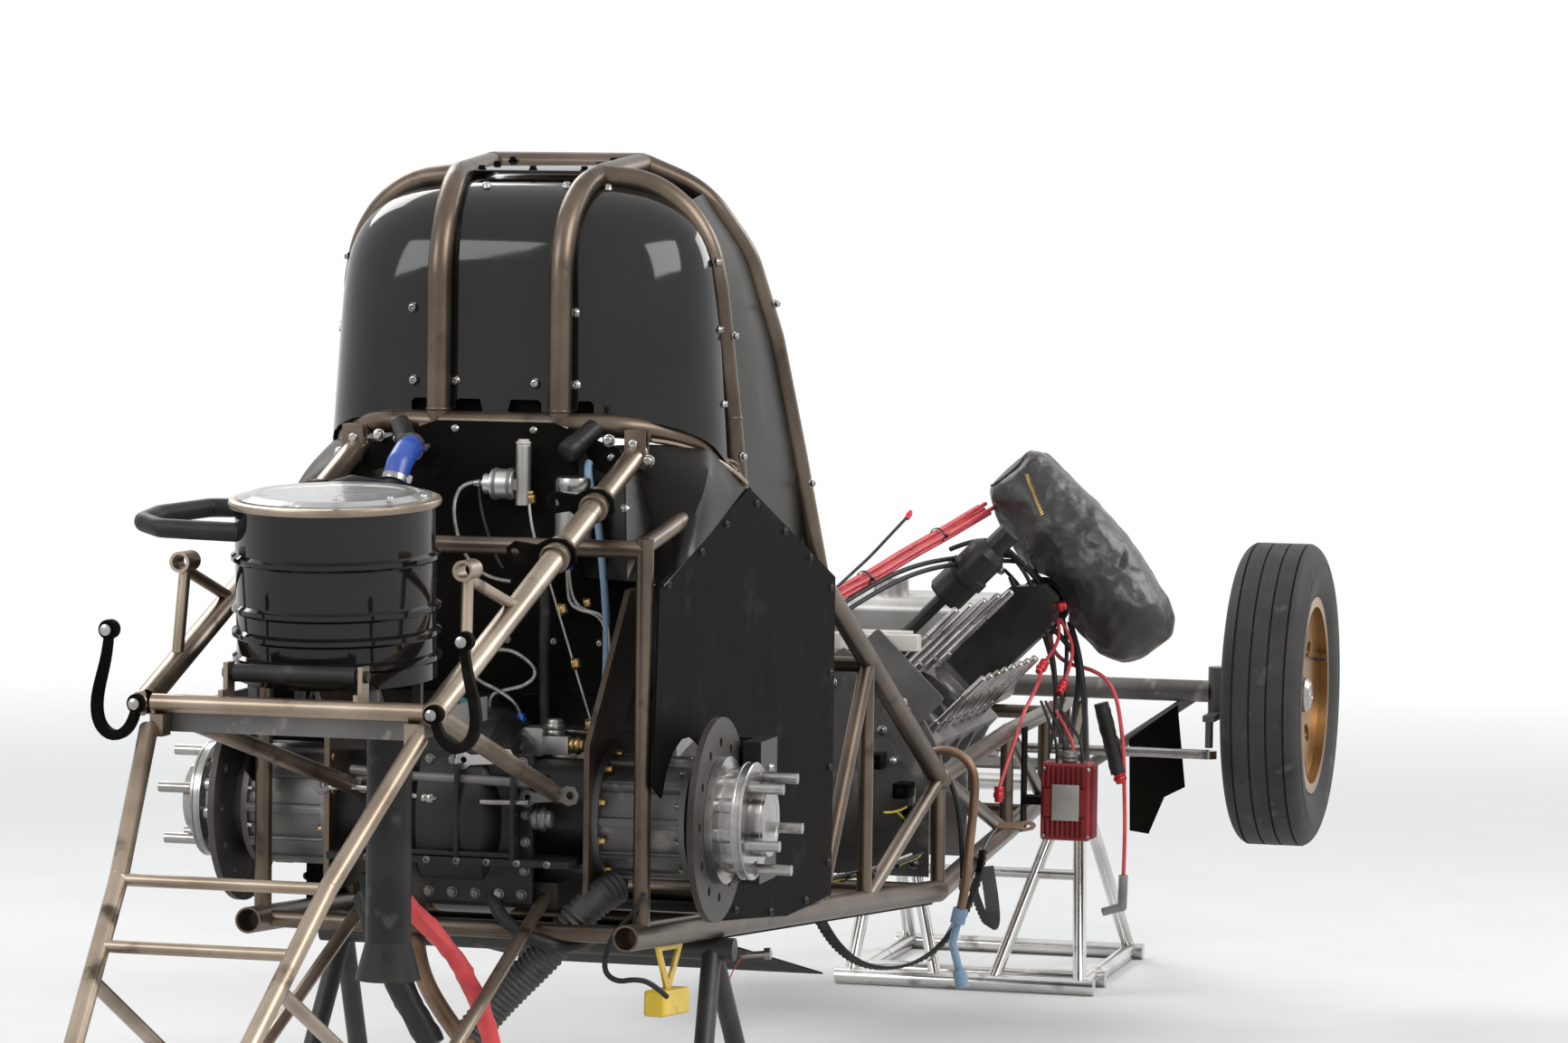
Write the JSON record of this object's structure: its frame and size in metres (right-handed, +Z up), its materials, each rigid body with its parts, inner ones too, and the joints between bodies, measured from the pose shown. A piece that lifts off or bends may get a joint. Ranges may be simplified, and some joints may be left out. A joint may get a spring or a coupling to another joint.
{
  "type": "drag racing car chassis",
  "caption": "Nitro drag racing car with its body and rear wheels off: tube frame, roll cage, open engine block, rear axle and front wheels, on tubular stands.",
  "frame": {"origin": "on the floor under the middle of the object, the middle of its length and width", "axes": "+X points forward along the car, +Y to its left, +Z up"},
  "size_m": [5.387, 1.516, 1.702],
  "materials": {
    "chromoly": "bare welded steel tube with a bronze-brown heat tint, satin",
    "gloss_black": "gloss black moulded shell",
    "satin_black": "satin black sheet",
    "black_cast": "black coated casting",
    "bare_aluminium": "machined aluminium",
    "titanium_grey": "dull grey plate",
    "machined_steel": "machined steel",
    "disc_dark": "dark brake disc",
    "tyre_rubber": "worn ribbed racing rubber",
    "gold_rim": "spun rim with a bronze tint",
    "cover_vinyl": "black soft cover",
    "red_case": "red finned case",
    "stand_chrome": "chromed stand tube",
    "stand_black": "black stand tube",
    "clear_lid": "tan rim with a clear film",
    "hose_black": "black hose",
    "hose_red": "red hose",
    "hose_blue": "blue coupling hose",
    "hose_bronze": "bronze-brown woven hose",
    "boot_grey": "grey moulded boot",
    "yellow_case": "yellow sensor case",
    "seat_black": "black moulded seat"
  },
  "bodies": {
    "chassis": {"axle_bells": "titanium_grey", "axle_housing": "black_cast", "axle_plates": "titanium_grey", "back_panel": "satin_black", "bellhousing": "titanium_grey", "belly_sheet": "satin_black", "brake_calipers": "black_cast", "cage_panels": "satin_black", "can_lid": "clear_lid", "can_tray": "titanium_grey", "catch_can": "gloss_black", "cockpit_frame": "chromoly", "coupling_hose": "hose_blue", "cover_bag": "cover_vinyl", "cylinder_sleeves": "machined_steel", "dome_shroud": "gloss_black", "driveline": "titanium_grey", "engine_block": "bare_aluminium", "engine_frame": "chromoly", "floor_pan": "titanium_grey", "front_axle": "chromoly", "front_cover": "bare_aluminium", "front_stand": "stand_chrome", "fuel_tank": "bare_aluminium", "hanging_hose": "hose_bronze", "head_studs": "machined_steel", "hose_cap": "bare_aluminium", "ignition_box": "red_case", "ignition_bracket": "titanium_grey", "lower_shroud": "gloss_black", "magnetos": "satin_black", "motor_plate": "titanium_grey", "nose_flaps": "titanium_grey", "nose_frame": "chromoly", "oil_pan": "bare_aluminium", "panel_fittings": "bare_aluminium", "plug_boot": "boot_grey", "plug_lead": "hose_red", "rear_hooks": "satin_black", "rear_pipes": "satin_black", "rear_stand": "stand_black", "rear_struts": "chromoly", "roll_cage": "chromoly", "seat": "seat_black", "sensor_box": "yellow_case", "side_panels": "satin_black", "steering_rack": "titanium_grey", "wheelie_bar": "chromoly"},
    "rear_spool": {"rear_hub_left": "machined_steel", "rear_hub_right": "machined_steel", "brake_discs": "disc_dark"},
    "knuckle_left": {"knuckle_left": "machined_steel"},
    "knuckle_right": {"knuckle_right": "machined_steel"},
    "front_wheel_left": {"front_tyre_left": "tyre_rubber", "front_rim_left": "gold_rim"},
    "front_wheel_right": {"front_tyre_right": "tyre_rubber", "front_rim_right": "gold_rim"},
    "tie_rod": {"tie_rod": "chromoly"},
    "steering_wheel": {"steering_wheel": "satin_black"},
    "wheelie_wheels": {"wheelie_wheels": "hose_black"}
  },
  "joints": [
    {"name": "rear_spool_spin", "type": "hinge", "parent": "chassis", "child": "rear_spool", "pos_m": [-1.2135, 0, 0.74], "axis": [0, 1, 0], "continuous": true},
    {"name": "steer_left", "type": "hinge", "parent": "chassis", "child": "knuckle_left", "pos_m": [1.9615, 0.552, 0.656], "axis": [0, 0, 1], "range_deg": [-14, 14]},
    {"name": "steer_right", "type": "hinge", "parent": "chassis", "child": "knuckle_right", "pos_m": [1.9615, -0.552, 0.656], "axis": [0, 0, 1], "range_deg": [-14.5, 14.5]},
    {"name": "front_wheel_left_spin", "type": "hinge", "parent": "knuckle_left", "child": "front_wheel_left", "pos_m": [1.9615, 0.678, 0.656], "axis": [0, 1, 0], "continuous": true},
    {"name": "front_wheel_right_spin", "type": "hinge", "parent": "knuckle_right", "child": "front_wheel_right", "pos_m": [1.9615, -0.678, 0.656], "axis": [0, 1, 0], "continuous": true},
    {"name": "tie_rod_slide", "type": "slide", "parent": "chassis", "child": "tie_rod", "axis": [0, 1, 0], "range_m": [-0.029, 0.029]},
    {"name": "steering_wheel_turn", "type": "hinge", "parent": "chassis", "child": "steering_wheel", "pos_m": [-0.2585, 0, 0.934], "axis": [0.9511, 0, -0.309], "range_deg": [-116, 116]},
    {"name": "wheelie_wheels_spin", "type": "hinge", "parent": "chassis", "child": "wheelie_wheels", "pos_m": [-2.6435, 0, 0.455], "axis": [0, 1, 0], "continuous": true}
  ],
  "couplings": [
    {"joint": "steer_right", "follows": "steer_left", "ratio": 1},
    {"joint": "tie_rod_slide", "follows": "steer_left", "m_per_rad": -0.11},
    {"joint": "steering_wheel_turn", "follows": "steer_left", "ratio": 8}
  ]
}
